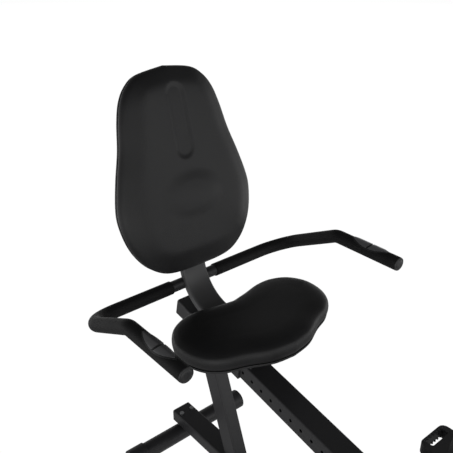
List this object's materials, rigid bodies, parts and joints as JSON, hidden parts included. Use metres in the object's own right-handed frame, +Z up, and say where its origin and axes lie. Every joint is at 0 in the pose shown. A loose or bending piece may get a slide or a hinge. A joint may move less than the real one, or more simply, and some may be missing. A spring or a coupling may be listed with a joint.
{
  "type": "recumbent exercise bike",
  "caption": "Recumbent exercise bike with a padded sliding seat, U-shaped seat handlebar, belt-driven flywheel, pedals and a console mast.",
  "frame": {"origin": "floor under the middle of the overall length, on the centre plane", "axes": "+X forward (the way the rider faces), +Y the rider's left, +Z up"},
  "size_m": [1.33, 0.675, 1.2597],
  "materials": {
    "painted_black": "satin powder coat",
    "painted_graphite": "satin powder coat",
    "black_plastic": "fine texture",
    "foam": "matt closed-cell foam",
    "vinyl": "grained upholstery vinyl",
    "plywood": "bare",
    "steel": "satin",
    "iron": "machined",
    "crank_steel": "satin",
    "strap": "matt",
    "belt": "matt",
    "wheel_plastic": "matt",
    "screen": "gloss",
    "button_grey": "matt",
    "glide": "natural"
  },
  "bodies": {
    "frame": {"seat_rail": "painted_black", "rail_end_plug": "black_plastic", "rear_leg": "painted_black", "base_beam": "painted_black", "rear_stabilizer": "painted_black", "rear_foot_caps": "black_plastic", "front_stabilizer": "painted_black", "front_foot_caps": "black_plastic", "drive_plates": "painted_black", "mast": "painted_black", "front_handlebar": "painted_black", "front_grips": "foam", "housing_right": "black_plastic", "housing_left": "black_plastic", "flywheel_axle": "steel", "crank_bearings": "steel", "drive_belt": "belt", "console_back": "black_plastic", "console_face": "black_plastic", "console_screen": "screen", "frame_bolts": "steel", "housing_screws": "steel"},
    "crank": {"crank_axle": "steel", "crank_arm_right": "crank_steel", "crank_arm_left": "crank_steel", "drive_pulley": "black_plastic"},
    "pedal_right": {"pedal_right": "black_plastic", "pedal_strap_right": "strap"},
    "pedal_left": {"pedal_left": "black_plastic", "pedal_strap_left": "strap"},
    "flywheel": {"flywheel": "iron"},
    "magnet_arm": {"magnet_arm": "steel"},
    "tension_knob": {"tension_knob": "black_plastic"},
    "button_mode": {"button_mode": "button_grey"},
    "button_set": {"button_set": "button_grey"},
    "button_reset": {"button_reset": "button_grey"},
    "wheel_right": {"transport_wheel_right": "wheel_plastic"},
    "wheel_left": {"transport_wheel_left": "wheel_plastic"},
    "seat": {"seat_carriage": "painted_black", "glide_liners": "glide", "seat_upright": "painted_graphite", "riser_plates": "painted_black", "bar_cross_tube": "painted_black", "bar_arm_right": "painted_black", "bar_arm_left": "painted_black", "sleeve_right": "foam", "sleeve_left": "foam", "bar_end_caps": "black_plastic", "sensor_pods": "black_plastic", "sensor_plates": "steel", "seat_board": "plywood", "seat_cushion": "vinyl", "seat_shell": "black_plastic", "seat_bolts": "steel", "back_board": "plywood", "back_cushion": "vinyl", "back_shell": "black_plastic", "back_plate": "painted_graphite", "back_bolts": "steel"},
    "lock_pin": {"lock_pin": "black_plastic"}
  },
  "joints": [
    {"name": "seat_slide", "type": "slide", "parent": "frame", "child": "seat", "axis": [0.9806, 0, -0.1959], "range_m": [-0.034, 0.17]},
    {"name": "lock_pin_slide", "type": "slide", "parent": "seat", "child": "lock_pin", "axis": [0, -1, 0], "range_m": [0, 0.012], "stiffness_N_per_m": 300, "springref_m": 0.014},
    {"name": "crank_spin", "type": "hinge", "parent": "frame", "child": "crank", "pos_m": [0.294, 0, 0.35], "axis": [0, 1, 0], "continuous": true},
    {"name": "pedal_right_spin", "type": "hinge", "parent": "crank", "child": "pedal_right", "pos_m": [0.42506, -0.12, 0.25823], "axis": [0, 1, 0], "continuous": true},
    {"name": "pedal_left_spin", "type": "hinge", "parent": "crank", "child": "pedal_left", "pos_m": [0.16294, 0.12, 0.44177], "axis": [0, 1, 0], "continuous": true},
    {"name": "flywheel_spin", "type": "hinge", "parent": "frame", "child": "flywheel", "pos_m": [0.519, 0, 0.29], "axis": [0, 1, 0], "continuous": true},
    {"name": "tension_turn", "type": "hinge", "parent": "frame", "child": "tension_knob", "pos_m": [0.38621, 0, 0.92996], "axis": [-0.9925, 0, -0.1219], "range_deg": [0, 140]},
    {"name": "magnet_swing", "type": "hinge", "parent": "frame", "child": "magnet_arm", "pos_m": [0.64427, 0, 0.30761], "axis": [0, 1, 0], "range_deg": [0, 2.5]},
    {"name": "wheel_right_spin", "type": "hinge", "parent": "frame", "child": "wheel_right", "pos_m": [0.634, -0.252, 0.033], "axis": [0, 1, 0], "continuous": true},
    {"name": "wheel_left_spin", "type": "hinge", "parent": "frame", "child": "wheel_left", "pos_m": [0.634, 0.252, 0.033], "axis": [0, 1, 0], "continuous": true},
    {"name": "press_mode", "type": "slide", "parent": "frame", "child": "button_mode", "axis": [0.788, 0, 0.6157], "range_m": [0, 0.002], "stiffness_N_per_m": 400, "springref_m": -0.0005},
    {"name": "press_set", "type": "slide", "parent": "frame", "child": "button_set", "axis": [0.788, 0, 0.6157], "range_m": [0, 0.002], "stiffness_N_per_m": 400, "springref_m": -0.0005},
    {"name": "press_reset", "type": "slide", "parent": "frame", "child": "button_reset", "axis": [0.788, 0, 0.6157], "range_m": [0, 0.002], "stiffness_N_per_m": 400, "springref_m": -0.0005}
  ],
  "couplings": [
    {"joint": "flywheel_spin", "follows": "crank_spin", "ratio": 4.6681},
    {"joint": "tension_turn", "follows": "magnet_swing", "ratio": 56}
  ]
}
